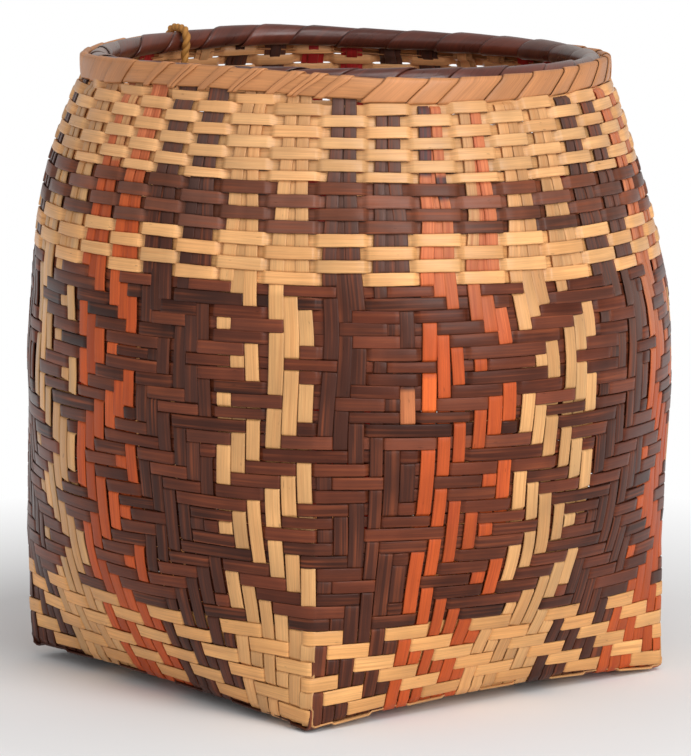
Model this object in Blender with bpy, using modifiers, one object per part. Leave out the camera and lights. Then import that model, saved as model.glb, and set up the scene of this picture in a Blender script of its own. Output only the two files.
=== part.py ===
"""A plaited cane storage basket: square base, round body and a hoop-bound mouth.

Units are metres, +Z is up and the origin is under the middle of the base.
The near corner of the base, as the basket is usually shown, points to +X -Y.
"""
import math

import bmesh
import bpy
from mathutils import Matrix, Vector

# The woven body
BASE_SIDE = 0.190           # square base, outside, corner to corner along a side
BASE_ARCH = 0.005           # rise of the base between its corner feet
FOOT_SIDE = 0.010           # flat square under each corner
BELLY_RADIUS = 0.1348       # widest outside radius
BELLY_HEIGHT = 0.125        # height of the widest place
MOUTH_RADIUS = 0.1104       # outside radius where the wall meets the rim
ROUND_HEIGHT = 0.152        # height at which the square has become a circle
ROUND_POWER = 2.0           # how early the sides leave the square, 1 is evenly
ARCH_FADE = 0.050           # height over which the arch of the base dies out
STRIP_THICKNESS = 0.001     # one cane splint
LAYER_GAP = 0.0004          # between the stakes and the weavers round them
CLEARANCE = 0.0003          # between pieces that touch

# The rows of weavers, from the rim down: name, rows, height of one row, colour
ROW_ZONES = (
    ("weaver_shoulder_natural", 7, 0.00433, "natural"),
    ("weaver_band_brown", 4, 0.00488, "brown"),
    ("weaver_band_natural", 4, 0.00495, "natural"),
    ("weaver_body_brown", 27, 0.00515, "brown"),
    ("weaver_foot_natural", 6, 0.00653, "natural"),
)

# The rim
OUTER_HOOP_HEIGHT = 0.009
OUTER_HOOP_THICKNESS = 0.0018
RIM_INSET = 0.0017          # the wall is squeezed in this much between the hoops
INNER_HOOP_DIAMETER = 0.008
LASHING_WIDTH = 0.005
LASHING_THICKNESS = 0.0008
LASHING_WRAPS_PER_SIDE = 10
LASHING_LEAN = 0.43         # share of a wrap's pitch in which it climbs the outer hoop
LASHING_CROSSING = 0.13     # share of the pitch in which it crosses over the top

# The twine loop at the back left
TWINE_DIAMETER = 0.0035
TWINE_ANGLE = math.radians(183.0)
TWINE_RISE = 0.002          # free height of the loop over the rim
TWINE_TAIL = 0.016          # length of the loose end down the inside
TWINE_SHIFT = 0.0045        # the loose end lies this far beside the first turn

# How finely the curved pieces are divided
SEGMENTS_PER_SIDE = 6
SEGMENTS = 4 * SEGMENTS_PER_SIDE
ROWS_PER_LEVEL = 2          # rows that one division of the stakes spans

# Linear colours of the dyed cane
COLOURS = {
    "natural": (0.72, 0.45, 0.19),
    "brown": (0.10, 0.045, 0.030),
    "stakes": (0.30, 0.13, 0.07),
    "hoop_brown": (0.07, 0.030, 0.020),
    "hoop_natural": (0.68, 0.38, 0.16),
    "twine": (0.50, 0.26, 0.07),
}

# Heights that follow from the rows
WEAVER_TOP = sum(rows * pitch for _, rows, pitch, _ in ROW_ZONES)
LASHING_SPACE = LASHING_THICKNESS + 2 * CLEARANCE
RIM_BOTTOM = WEAVER_TOP + LASHING_SPACE
RIM_TOP = RIM_BOTTOM + max(OUTER_HOOP_HEIGHT, INNER_HOOP_DIAMETER)
RIM_MIDDLE = (RIM_BOTTOM + RIM_TOP) / 2
HOOP_BOTTOM = RIM_MIDDLE - OUTER_HOOP_HEIGHT / 2
HOOP_TOP = RIM_MIDDLE + OUTER_HOOP_HEIGHT / 2
WALL_START = STRIP_THICKNESS + CLEARANCE
STAKE_INSET = STRIP_THICKNESS + LAYER_GAP
STAKE_RADIUS = MOUTH_RADIUS - STAKE_INSET - RIM_INSET
FACET = math.cos(math.pi / SEGMENTS)


def wall_radius(height):
    """Outside radius of the round part: upright below the belly, an arc above it."""
    rise = WEAVER_TOP - BELLY_HEIGHT
    draw_in = BELLY_RADIUS - MOUTH_RADIUS
    arc = (rise ** 2 + draw_in ** 2) / (2 * draw_in)
    above = max(0.0, min(height, WEAVER_TOP) - BELLY_HEIGHT)
    return BELLY_RADIUS - (arc - math.sqrt(arc ** 2 - above ** 2))


def wall_ring(height):
    """Points round the outer face of the wall, from corner to corner, at one height."""
    square_share = (1 - min(height / ROUND_HEIGHT, 1)) ** ROUND_POWER
    fade = max(0.0, 1 - max(0.0, height - WALL_START) / ARCH_FADE) ** 2
    ring = []
    for step in range(SEGMENTS):
        side, along = divmod(step / SEGMENTS_PER_SIDE, 1)
        angle = math.radians(90 * along - 45)
        circle = Vector((math.cos(angle), math.sin(angle), 0)) * wall_radius(height)
        square = Vector((1, 2 * along - 1, 0)) * BASE_SIDE / 2
        point = Matrix.Rotation(side * math.pi / 2, 3, "Z") @ circle.lerp(square, square_share)
        point.z = height + BASE_ARCH * fade * 4 * along * (1 - along)
        ring.append(point)
    return ring


def inset(ring, depth):
    """The same ring moved inwards, mitred at its corners."""
    moved = []
    for index, point in enumerate(ring):
        normals = []
        for start, end in ((ring[index - 1], point), (point, ring[(index + 1) % len(ring)])):
            edge = (end - start).to_2d().normalized()
            normals.append(Vector((-edge.y, edge.x)))
        mitre = (normals[0] + normals[1]) / (1 + normals[0].dot(normals[1]))
        moved.append(point + mitre.to_3d() * depth)
    return moved


def finish(piece, colour, collection):
    """Give a piece its material, smooth shading and place in the basket's collection."""
    material = bpy.data.materials.get(colour)
    if material is None:
        material = bpy.data.materials.new(colour)
        material.use_nodes = True
        shader = material.node_tree.nodes["Principled BSDF"]
        shader.inputs["Base Color"].default_value = (*COLOURS[colour], 1)
        shader.inputs["Roughness"].default_value = 0.5
        shader.inputs["Metallic"].default_value = 0.0
    piece.data.materials.clear()
    piece.data.materials.append(material)
    for other in list(piece.users_collection):
        other.objects.unlink(piece)
    collection.objects.link(piece)
    if piece.type == "MESH":
        piece.data.shade_smooth()
        piece.data.set_sharp_from_angle(angle=math.radians(30))
    return piece


def shell(name, outer, inner, around=False, bulge_out=True):
    """A closed strip or panel between two grids of points, as grid[level][column].

    A twisted cell is split along the diagonal that bulges outwards, or inwards for a
    piece that lies inside another, so that neighbours never cut into each other.
    """
    mesh = bmesh.new()
    levels, columns = len(outer), len(outer[0])
    grids = [[[mesh.verts.new(point) for point in row] for row in grid] for grid in (outer, inner)]
    spans = columns if around else columns - 1

    def cell(a, b, c, d):
        reach_ac = (a.co + c.co).to_2d().length
        reach_bd = (b.co + d.co).to_2d().length
        if (reach_ac > reach_bd) == bulge_out:
            mesh.faces.new((a, b, c))
            mesh.faces.new((a, c, d))
        else:
            mesh.faces.new((a, b, d))
            mesh.faces.new((b, c, d))

    for column in range(spans):
        beside = (column + 1) % columns
        for grid in grids:
            for level in range(levels - 1):
                low, high = grid[level], grid[level + 1]
                cell(low[column], low[beside], high[beside], high[column])
        for level in (0, levels - 1):
            front, back = grids[0][level], grids[1][level]
            cell(front[column], front[beside], back[beside], back[column])
    if not around:
        for column in (0, columns - 1):
            for level in range(levels - 1):
                cell(grids[0][level][column], grids[0][level + 1][column],
                     grids[1][level + 1][column], grids[1][level][column])
    bmesh.ops.recalc_face_normals(mesh, faces=mesh.faces)
    data = bpy.data.meshes.new(name)
    mesh.to_mesh(data)
    mesh.free()
    return bpy.data.objects.new(name, data)


def make_weavers(collection):
    """One closed ring for each row, counted from the rim down in its colour zone."""
    weavers = []
    top = WEAVER_TOP
    for zone, rows, pitch, colour in ROW_ZONES:
        for row in range(rows):
            low = wall_ring(top - pitch + CLEARANCE / 2)
            high = wall_ring(top - CLEARANCE / 2)
            inner = [inset(low, STRIP_THICKNESS), inset(high, STRIP_THICKNESS)]
            weaver = shell(f"{zone}_{row + 1:02d}", [low, high], inner, around=True)
            weavers.append(finish(weaver, colour, collection))
            top -= pitch
    return weavers


def stake_levels():
    """Rings of the outer face of the stakes, from the base up to between the hoops."""
    heights = [WALL_START]
    pitches = [pitch for _, rows, pitch, _ in reversed(ROW_ZONES) for _ in range(rows)]
    for index in range(ROWS_PER_LEVEL, len(pitches) + 1, ROWS_PER_LEVEL):
        heights.append(sum(pitches[:index]))
    levels = [inset(wall_ring(height), STAKE_INSET) for height in heights]
    for height in (RIM_BOTTOM, HOOP_TOP - CLEARANCE):
        squeezed = inset(wall_ring(WEAVER_TOP), STAKE_INSET + RIM_INSET)
        levels.append([Vector((point.x, point.y, height)) for point in squeezed])
    return levels


def make_stakes(collection):
    """The thirty stakes of each side as one curved panel."""
    outer = stake_levels()
    inner = [inset(ring, STRIP_THICKNESS) for ring in outer]
    panels = []
    for side, name in enumerate(("stakes_plus_x", "stakes_plus_y", "stakes_minus_x", "stakes_minus_y")):
        columns = [(side * SEGMENTS_PER_SIDE + step) % SEGMENTS for step in range(SEGMENTS_PER_SIDE + 1)]
        grids = []
        for rings in (outer, inner):
            grid = [[ring[column] for column in columns] for ring in rings]
            for row in grid:
                trim = (row[1] - row[0]).normalized() * CLEARANCE
                row[0] = row[0] + trim
                trim = (row[-2] - row[-1]).normalized() * CLEARANCE
                row[-1] = row[-1] + trim
            grids.append(grid)
        panels.append(finish(shell(name, *grids, bulge_out=False), "stakes", collection))
    return panels


def make_base(collection):
    """The plaited base sheet, arched between four flat corner feet."""
    half = BASE_SIDE / 2 - STAKE_INSET
    foot = 1 - FOOT_SIDE / half
    divisions = [2 * step / SEGMENTS_PER_SIDE - 1 for step in range(SEGMENTS_PER_SIDE + 1)]
    shares = sorted(divisions + [-foot, foot])
    bottom = []
    for y in shares:
        row = []
        for x in shares:
            on_foot = min(abs(x), abs(y)) >= foot
            lift = 0.0 if on_foot else BASE_ARCH * (1 - x * x * y * y)
            row.append(Vector((x * half, y * half, lift)))
        bottom.append(row)
    top = [[point + Vector((0, 0, STRIP_THICKNESS)) for point in row] for row in bottom]
    return finish(shell("base_mat", bottom, top), "stakes", collection)


def make_hoops(collection):
    """A flat natural hoop outside the wall and a round brown roll inside it."""
    inside = STAKE_RADIUS + CLEARANCE
    outside = inside + OUTER_HOOP_THICKNESS
    profile = bpy.data.meshes.new("rim_hoop_outer")
    corners = ((inside, HOOP_TOP), (outside, HOOP_TOP), (outside, HOOP_BOTTOM), (inside, HOOP_BOTTOM))
    profile.from_pydata([(x, 0, z) for x, z in corners], [(0, 1), (1, 2), (2, 3), (3, 0)], [])
    outer_hoop = bpy.data.objects.new("rim_hoop_outer", profile)
    turn = outer_hoop.modifiers.new("turn", "SCREW")
    turn.steps = turn.render_steps = SEGMENTS
    turn.use_merge_vertices = True
    turn.merge_threshold = 0.00001
    finish(outer_hoop, "hoop_natural", collection)

    roll_radius = INNER_HOOP_DIAMETER / 2
    centre = (STAKE_RADIUS - STRIP_THICKNESS) - CLEARANCE / FACET - roll_radius
    bpy.ops.mesh.primitive_torus_add(
        major_segments=SEGMENTS, minor_segments=8, major_radius=centre, minor_radius=roll_radius,
        location=(0, 0, RIM_MIDDLE))
    inner_hoop = bpy.context.object
    inner_hoop.name = "rim_hoop_inner"
    finish(inner_hoop, "hoop_brown", collection)
    return outer_hoop, inner_hoop


def lashing_box():
    """Inner and outer radius and lower and upper height of the path round both hoops."""
    inner_roll = STAKE_RADIUS - STRIP_THICKNESS - CLEARANCE / FACET - INNER_HOOP_DIAMETER
    outer_hoop = STAKE_RADIUS + CLEARANCE + OUTER_HOOP_THICKNESS
    return (inner_roll * FACET - CLEARANCE, outer_hoop + CLEARANCE,
            RIM_BOTTOM - CLEARANCE, RIM_TOP + CLEARANCE)


def wrap_angle(turn):
    """Angle of the hole that a wrap comes through, counted in wraps."""
    return math.radians(-45) + (turn + 0.5) * math.pi / 2 / LASHING_WRAPS_PER_SIDE


def make_lashing(collection):
    """One splint wound round both hoops, through a hole in the wall at every wrap."""
    inside, outside, low, high = lashing_box()
    corners = ((0.0, inside, low, -1, -1), (0.0, outside, low, 1, -1),
               (LASHING_LEAN, outside, high, 1, 1), (LASHING_LEAN + LASHING_CROSSING, inside, high, -1, 1))
    outer, inner = ([], []), ([], [])
    for wrap in range(4 * LASHING_WRAPS_PER_SIDE):
        for share, radius, height, radial, upward in corners:
            angle = wrap_angle(wrap + share)
            out = Vector((math.cos(angle), math.sin(angle), 0))
            along = Vector((-out.y, out.x, 0)) * LASHING_WIDTH / 2
            point = out * radius + Vector((0, 0, height))
            skin = (out * radial + Vector((0, 0, upward))) * LASHING_THICKNESS
            for edge, sign in enumerate((-1, 1)):
                inner[edge].append(point + along * sign)
                outer[edge].append(point + along * sign + skin)
    return finish(shell("rim_lashing", outer, inner, around=True), "hoop_natural", collection)


def make_twine(collection):
    """A short twine loop round the rim, through the wall under the top row."""
    inside, outside, _, high = lashing_box()
    reach = LASHING_THICKNESS + CLEARANCE + TWINE_DIAMETER / 2
    near, far = inside - reach, outside + reach
    hole = twine_hole_height()
    skin = wall_radius(hole) + CLEARANCE + TWINE_DIAMETER / 2
    top = high + reach
    bend = TWINE_DIAMETER
    middle = (near + far) / 2
    # Radius, height and share of the sideways shift, from the loose end inside
    route = [
        (near, top - TWINE_TAIL, 1.0), (near, top - TWINE_TAIL * 0.6, 0.97),
        (near - bend / 4, top - TWINE_TAIL * 0.3, 0.93), (near, top, 0.85),
        (near + bend, top + TWINE_RISE * 0.7, 0.75), (middle, top + TWINE_RISE, 0.62),
        (far - bend, top + TWINE_RISE * 0.7, 0.5), (far, top - bend / 2, 0.38),
        (skin + bend * 0.2, (top + hole) / 2, 0.24), (skin + bend * 0.35, hole + bend * 1.1, 0.1),
        (skin + bend * 0.15, hole + bend * 0.25, 0.0), (skin - bend * 0.4, hole, 0.0),
        (skin - bend * 1.3, hole, 0.0), (middle, hole, 0.0), (near + bend, hole, 0.0),
    ]
    points = [Vector((radius, share * TWINE_SHIFT, height)) for radius, height, share in route]
    curve = bpy.data.curves.new("twine_loop", "CURVE")
    curve.dimensions = "3D"
    curve.bevel_depth = TWINE_DIAMETER / 2
    curve.bevel_resolution = 2
    curve.use_fill_caps = True
    smooth = smooth_route(points)
    spline = curve.splines.new("POLY")
    spline.points.add(len(smooth) - 1)
    for slot, point in zip(spline.points, smooth):
        slot.co = (*point, 1)
    twine = bpy.data.objects.new("twine_loop", curve)
    twine.rotation_euler.z = TWINE_ANGLE
    return finish(twine, "twine", collection)


def smooth_route(points, steps=3):
    """A smooth curve through the points, Catmull-Rom."""
    padded = [2 * points[0] - points[1]] + points + [2 * points[-1] - points[-2]]
    route = []
    for before, start, end, after in zip(padded, padded[1:], padded[2:], padded[3:]):
        for step in range(steps):
            t = step / steps
            route.append(0.5 * (2 * start + (end - before) * t
                                + (2 * before - 5 * start + 4 * end - after) * t ** 2
                                + (3 * start - before - 3 * end + after) * t ** 3))
    return route + [points[-1]]


def twine_hole_height():
    """The twine goes through between the two top rows."""
    return WEAVER_TOP - ROW_ZONES[0][2]


def make_cutters(cutters):
    """Slots in the wall for the lashing, and the round hole for the twine."""
    through_wall = 4 * (LAYER_GAP + STRIP_THICKNESS + RIM_INSET)
    slots = []
    for wrap in range(4 * LASHING_WRAPS_PER_SIDE):
        angle = wrap_angle(wrap)
        bpy.ops.mesh.primitive_cube_add(size=1)
        slot = bpy.context.object
        slot.name = f"lashing_slot_{wrap + 1:02d}"
        slot.dimensions = (through_wall, LASHING_WIDTH + 4 * CLEARANCE, LASHING_SPACE + CLEARANCE)
        slot.location = (STAKE_RADIUS * math.cos(angle), STAKE_RADIUS * math.sin(angle),
                         RIM_BOTTOM - CLEARANCE - LASHING_THICKNESS / 2)
        slot.rotation_euler.z = angle
        slots.append(slot)
    bpy.ops.mesh.primitive_cylinder_add(
        vertices=12, radius=TWINE_DIAMETER / 2 + 2 * CLEARANCE, depth=3 * through_wall,
        location=(MOUTH_RADIUS * math.cos(TWINE_ANGLE), MOUTH_RADIUS * math.sin(TWINE_ANGLE),
                  twine_hole_height()),
        rotation=(0, math.pi / 2, TWINE_ANGLE))
    hole = bpy.context.object
    hole.name = "twine_hole"
    for cutter in slots + [hole]:
        for other in list(cutter.users_collection):
            other.objects.unlink(cutter)
        cutters.objects.link(cutter)
        cutter.hide_render = True
        cutter.display_type = "WIRE"
    return slots, hole


def cut(piece, cutter):
    """Cut one shape out of a piece."""
    modifier = piece.modifiers.new(cutter.name, "BOOLEAN")
    modifier.operation = "DIFFERENCE"
    modifier.object = cutter


def build():
    """Make the whole basket."""
    for leftover in list(bpy.data.objects):
        bpy.data.objects.remove(leftover, do_unlink=True)
    basket = bpy.data.collections.new("cane_basket")
    cutters = bpy.data.collections.new("cutters")
    for collection in (basket, cutters):
        bpy.context.scene.collection.children.link(collection)
    make_base(basket)
    panels = make_stakes(basket)
    weavers = make_weavers(basket)
    make_hoops(basket)
    make_lashing(basket)
    make_twine(basket)
    slots, hole = make_cutters(cutters)
    for side, panel in enumerate(panels):
        first = side * LASHING_WRAPS_PER_SIDE
        for slot in slots[first:first + LASHING_WRAPS_PER_SIDE]:
            cut(panel, slot)
    side_of_twine = int(((math.degrees(TWINE_ANGLE) + 45) % 360) // 90)
    cut(panels[side_of_twine], hole)
    for weaver in weavers[:2]:
        cut(weaver, hole)


build()
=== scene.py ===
"""A plaited basket of dyed river cane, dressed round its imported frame.

Units are metres and +Z is up. The near corner of the base points to +X -Y. Places round the
wall are counted in stakes, from the near corner anticlockwise as seen from above.
"""
import math

import bpy
import numpy as np
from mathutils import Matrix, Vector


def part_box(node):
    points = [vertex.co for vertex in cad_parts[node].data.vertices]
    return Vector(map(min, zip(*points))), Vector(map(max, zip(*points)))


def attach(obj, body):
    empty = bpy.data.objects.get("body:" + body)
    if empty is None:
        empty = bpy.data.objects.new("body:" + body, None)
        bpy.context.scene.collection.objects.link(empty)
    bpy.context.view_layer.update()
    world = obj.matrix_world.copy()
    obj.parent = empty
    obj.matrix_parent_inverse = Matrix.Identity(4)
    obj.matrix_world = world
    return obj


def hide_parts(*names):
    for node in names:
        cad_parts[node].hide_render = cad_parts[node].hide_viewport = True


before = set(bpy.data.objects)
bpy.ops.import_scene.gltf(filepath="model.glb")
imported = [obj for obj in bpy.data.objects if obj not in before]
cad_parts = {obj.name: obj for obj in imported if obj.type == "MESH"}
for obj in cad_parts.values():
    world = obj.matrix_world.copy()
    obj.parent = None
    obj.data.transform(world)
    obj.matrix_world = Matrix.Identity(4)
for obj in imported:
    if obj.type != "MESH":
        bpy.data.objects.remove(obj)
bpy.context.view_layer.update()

# The stakes and the base
# Sixty long splints of split river cane, each 6 mm wide, are plaited over three and under three
# into a square base. They bend up at its edges and go on as the 120 upright stakes of the wall.
# They are dyed in groups of six: dark brown, orange red, or left natural.
BASE_SIDE = 0.190
BASE_ARCH = 0.005            # rise of the base between its corner feet
BELLY_RADIUS = 0.1348
BELLY_HEIGHT = 0.125
MOUTH_RADIUS = 0.1104        # outside of the wall where it meets the rim
ROUND_HEIGHT = 0.152         # the square has become a circle here
ROUND_POWER = 2.0            # the larger this is, the sooner it has
ARCH_FADE = 0.050            # the arch of the base dies out over this height,
WALL_START = 0.0013          # counted from here
STAKES_PER_SIDE = 30
STAKES = 4 * STAKES_PER_SIDE
STAKE_WIDTH = 0.0060
STAKE_FILL = 0.97            # and at most this share of the room that it has
SPLINT_THICKNESS = 0.0008
WEAVE_DEPTH = 0.0012         # the middle of the weave, in from the outer face of the wall
STAKE_BOW = 0.00010          # a stake bulges this much more where it passes over several rows
VIEW_ANGLE = math.radians(51.15)    # the basket is seen from this far anticlockwise of -Y
RIGHTWARD = np.array([math.cos(VIEW_ANGLE), math.sin(VIEW_ANGLE), 0])

# Rows of weavers from the rim down: how many, the height of one, and its dye
ROW_ZONES = (
    ("shoulder_natural", 7, 0.00433, "natural"),
    ("band_brown", 4, 0.00488, "brown"),
    ("band_natural", 4, 0.00495, "natural"),
    ("body_brown", 27, 0.00515, "brown"),
    ("foot_natural", 6, 0.00653, "natural"),
)
ROW_PITCHES = np.concatenate([[pitch] * rows for _, rows, pitch, _ in ROW_ZONES])
ROW_COUNT = len(ROW_PITCHES)
WEAVER_TOP = ROW_PITCHES.sum()
ROW_HEIGHTS = WEAVER_TOP - np.cumsum(ROW_PITCHES) + ROW_PITCHES / 2
FIRST_ROW = -14              # the pattern counts its rows from the first one of the body, row 1

# The foot's rows are beaten up tight and leave a fold of bare stakes under them
FOOT_ROWS = ROW_ZONES[-1][1]
FOOT_FOLD = 0.0026
FOOT_TOP = ROW_PITCHES[-FOOT_ROWS:].sum()
ROW_PITCHES[-FOOT_ROWS:] = (FOOT_TOP - FOOT_FOLD) / FOOT_ROWS
ROW_HEIGHTS[-FOOT_ROWS:] = FOOT_TOP - ROW_PITCHES[-1] * (np.arange(FOOT_ROWS) + 0.5)

# How far a stake and a weaver together swing out of the middle of the weave, and the stake's part
# of it. From the second height up the stakes are nearly straight and the weavers do the bending.
WEAVE_SWING = 0.00092
STAKE_SWING = 0.00042
STRAIGHT_SWING = 0.00012
STRAIGHTENING = (0.172, 0.190)
STAKE_SWINGS = np.interp(ROW_HEIGHTS, STRAIGHTENING, (STAKE_SWING, STRAIGHT_SWING))


def dyed(red, green, blue):
    """A colour as it looks in daylight, 0 to 255, as the linear values that a shader takes."""
    share = np.array((red, green, blue)) / 255
    return np.where(share <= 0.04045, share / 12.92, ((share + 0.055) / 1.055) ** 2.4)


STAKE_DYES = {
    "natural": (dyed(213, 159, 101), dyed(205, 151, 99)),
    "orange": (dyed(190, 84, 36), dyed(197, 116, 76)),
    "brown": (dyed(70, 36, 25), dyed(90, 63, 54)),
}
# Towards the rim the dyes have faded to the second of each pair, and from lower down at the right
FADED_ABOVE = 0.190
FADED_SLANT = 0.40           # how much lower, as a share of the way out to the right
FADE_LENGTH = 0.04           # the height over which a stake goes from the one to the other

# The dye of each group of stakes, anticlockwise on the +X side and then on the +Y side. The same
# splints come up again on the sides opposite.
GROUP_SIZE = 6
X_GROUPS = ("brown", "orange", "natural", "brown", "orange")
Y_GROUPS = ("natural", "brown", "orange", "natural", "brown")


def zigzag(stake, period):
    """How many stakes away the nearest turning point of the pattern is."""
    return abs((stake + period / 2) % period - period / 2)


UPPER_SQUARES = 7            # the rows through the middles of the two belts of nested squares
LOWER_SQUARES = 20
LAST_BODY_ROW = FIRST_ROW + ROW_COUNT - FOOT_ROWS - 1


def stake_shows(stake, row):
    """Whether a stake passes outside a row, which is all that draws the basket's pattern.

    The shoulder is plain threes. The body has zigzags above, between and below its two belts of
    nested squares, and the foot has steps that all slant one way.
    """
    if row <= 0:
        return ((stake - 1) // 3 + row) % 2 == 0
    if row <= 4:
        step = (UPPER_SQUARES - row) + 4 - zigzag(stake, 12)
    elif row <= 10:
        step = abs(row - UPPER_SQUARES) - 2 + zigzag(stake, 24)
    elif row <= 16:
        step = (row - UPPER_SQUARES) + 4 - zigzag(stake, 12)
    elif row <= 24:
        step = abs(row - LOWER_SQUARES) - 9 + zigzag(stake - 6, 24)
    elif row <= LAST_BODY_ROW:
        step = (LAST_BODY_ROW - row) + 4 - zigzag(stake, 12)
    else:
        step = stake - 2 * (row - LAST_BODY_ROW - 1) - 3
    return step % 6 < 3


DRAFT = np.array([[stake_shows(stake, FIRST_ROW + row) for stake in range(1, STAKES + 1)]
                  for row in range(ROW_COUNT)])


def wall_radius(height):
    """Outside radius of the round part: upright below the belly, an arc above it."""
    rise = WEAVER_TOP - BELLY_HEIGHT
    draw_in = BELLY_RADIUS - MOUTH_RADIUS
    arc = (rise ** 2 + draw_in ** 2) / (2 * draw_in)
    above = np.clip(np.minimum(height, WEAVER_TOP) - BELLY_HEIGHT, 0, None)
    return BELLY_RADIUS - (arc - np.sqrt(arc ** 2 - above ** 2))


def squareness(height):
    """How much of the base's square is left in the wall at a height: all of it, down to none."""
    return (1 - np.clip(height / ROUND_HEIGHT, 0, 1)) ** ROUND_POWER


def even_face(stake, height):
    """The outer face of the wall as designed: a square at the foot that grows into a circle."""
    side, along = np.divmod((stake - 0.5) / STAKES_PER_SIDE, 1.0)
    square = squareness(height)
    fade = np.clip(1 - np.clip(height - WALL_START, 0, None) / ARCH_FADE, 0, None) ** 2
    angle = np.radians(90 * along - 45)
    radius = wall_radius(height)
    x = (1 - square) * radius * np.cos(angle) + square * BASE_SIDE / 2
    y = (1 - square) * radius * np.sin(angle) + square * (2 * along - 1) * BASE_SIDE / 2
    turn = side * math.pi / 2
    return np.stack([x * np.cos(turn) - y * np.sin(turn), x * np.sin(turn) + y * np.cos(turn),
                     height + BASE_ARCH * fade * 4 * along * (1 - along)], -1)


def bump(distance, reach):
    """One at a place, fading to nothing over about twice the reach."""
    return np.exp(-(distance / reach) ** 2)


def ramp(value, start, end):
    """Nothing at the start, one at the end, even in between and held at both."""
    return np.clip((value - start) / (end - start), 0, 1)


def apart(stake, middle):
    """How many stakes from another a place is, the short way round."""
    return (stake - middle + STAKES / 2) % STAKES - STAKES / 2


FOOT_HOLD = 0.035            # the foot holds the stakes in their places, less and less up to here


def drift(stake, height):
    """How far the stakes have crept round, in stakes: most at the left, and not at the foot.

    Each stretch is given by how far it has crept, by its middle and its reach in stakes, and by
    its heights, which are two that it grows between, or its middle and its reach.
    """
    left = 1.5 * bump(apart(stake, -17), 8.5) * ramp(height, 0.060, 0.130)
    corner = 0.4 * bump(apart(stake, 1), 4.5)
    low_right = 0.85 * bump(apart(stake, 16), 9.0) * bump(height - 0.060, 0.038)
    high_right = 0.5 * bump(apart(stake, 20), 4.0) * bump(height - 0.165, 0.040)
    shoulder_right = 0.45 * bump(apart(stake, 8.5), 7.0) * ramp(height, 0.185, 0.205)
    back = 0.7 * bump(apart(stake, 66), 10.0) * bump(height - 0.150, 0.060)
    moved = left + corner + low_right + high_right + shoulder_right - back
    return moved * ramp(height, 0, FOOT_HOLD)


def to_the_right(spot):
    """How far right of the middle a place is, as the basket is seen."""
    return spot[..., 0] * RIGHTWARD[0] + spot[..., 1] * RIGHTWARD[1]


# The left corner of the base has curled up off the floor. The curl starts some way left of the
# middle, is full at the corner, and dies out up the wall.
CURL_RISE = 0.0045
CURL_START = 0.055
CURL_FULL = 0.134
CURL_HEIGHT = 0.050


def curl(spot):
    """How far a place has come up with the left corner of the base."""
    left = ramp(-to_the_right(spot), CURL_START, CURL_FULL)
    return CURL_RISE * left ** 1.5 * ramp(spot[..., 2], CURL_HEIGHT, 0)


def bearing_of(stake):
    """Where a stake stands on the round part of the wall, anticlockwise from +X."""
    return np.radians(90 * (stake - 0.5) / STAKES_PER_SIDE - 45)


UNEVEN_FROM = 0.030          # the wall is true at the floor and at the rim, and uneven this far off


def unevenness(height):
    """How much of its unevenness the wall has at a height."""
    return np.clip(np.minimum(height, WEAVER_TOP - height) / UNEVEN_FROM, 0, 1)


STAKE_SLIDE = 0.08           # the stakes slide to and fro in two waves of this many stakes
ROW_WANDER = 0.0003          # and the rows go up and down in two waves of this height
ROW_TILT = 0.0022            # every row sits this much lower at the right and higher at the left
PACKED_UP = 0.0011           # the rows are beaten up this much, under a change at these heights,
PACKED_UNDER = (0.180, 0.160)
BELLY_PACKED_UP = 0.0014     # and this much more round the belly
BELLY_PACKING_MIDDLE = 0.128
BELLY_PACKING_REACH = 0.028
CORNER_EASE = 0.35           # the corners are rounded off over this many stakes either way
SHOULDER_LEAN = 0.0014       # the shoulder leans this far left, most at the height given next
LEAN_HEIGHT = 0.215
LEAN_REACH = 0.055

# The sides have slumped to the right at the belly, and stand out to the left under it
SWAY_HEIGHTS = (0.0, 0.020, 0.055, 0.070, 0.100, 0.120, 0.145, 0.160, 0.175, 0.190)
SWAYS = (0.0, -0.0013, -0.0014, 0.0, 0.0009, 0.0018, 0.0023, 0.0019, 0.0006, 0.0)


def plaited_face(stake, height):
    """The same face as hands left it: corners eased, rows wandering, the shoulder a little bent."""
    around = 2 * np.pi * stake / STAKES
    uneven = unevenness(height)
    slide = STAKE_SLIDE * (np.sin(3 * around + 40 * height + 1.0) + np.sin(8 * around - 75 * height))
    rise = ROW_WANDER * (np.sin(2 * around + 1.3) + np.sin(7 * around + 60 * height))
    settle = -ROW_TILT * np.cos(bearing_of(stake) - VIEW_ANGLE)
    packed_up = (PACKED_UP * ramp(height, *PACKED_UNDER)
                 + BELLY_PACKED_UP * bump(height - BELLY_PACKING_MIDDLE, BELLY_PACKING_REACH))
    stake = stake + slide * uneven + drift(stake, height)
    height = height + (rise + settle + packed_up) * uneven
    face = (even_face(stake - CORNER_EASE, height) + 2 * even_face(stake, height)
            + even_face(stake + CORNER_EASE, height)) / 4
    lean = SHOULDER_LEAN * ramp(np.abs(height - LEAN_HEIGHT), LEAN_REACH, 0)
    sway = np.interp(height, SWAY_HEIGHTS, SWAYS) * np.abs(to_the_right(face)) / BELLY_RADIUS
    face = face + (sway - lean)[..., None] * RIGHTWARD
    face[..., 2] += curl(face)
    return face


# How far threes of stakes have drawn together at some heights, as a share of the way to the middle
GATHER_HEIGHTS = (0.040, 0.120, 0.185, 0.232)
GATHER_SHARES = (0.0, 0.10, 0.28, 0.57)


def gathered(stake, height):
    """Where a stake stands: towards the rim, threes of them draw together over the middle one."""
    share = np.interp(height, GATHER_HEIGHTS, GATHER_SHARES)
    from_middle = (np.asarray(stake) - 0.5) % 3 - 1.5
    pull = np.sign(from_middle) * np.minimum(np.abs(from_middle), 3 - 2 * np.abs(from_middle))
    return stake - share * pull


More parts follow.
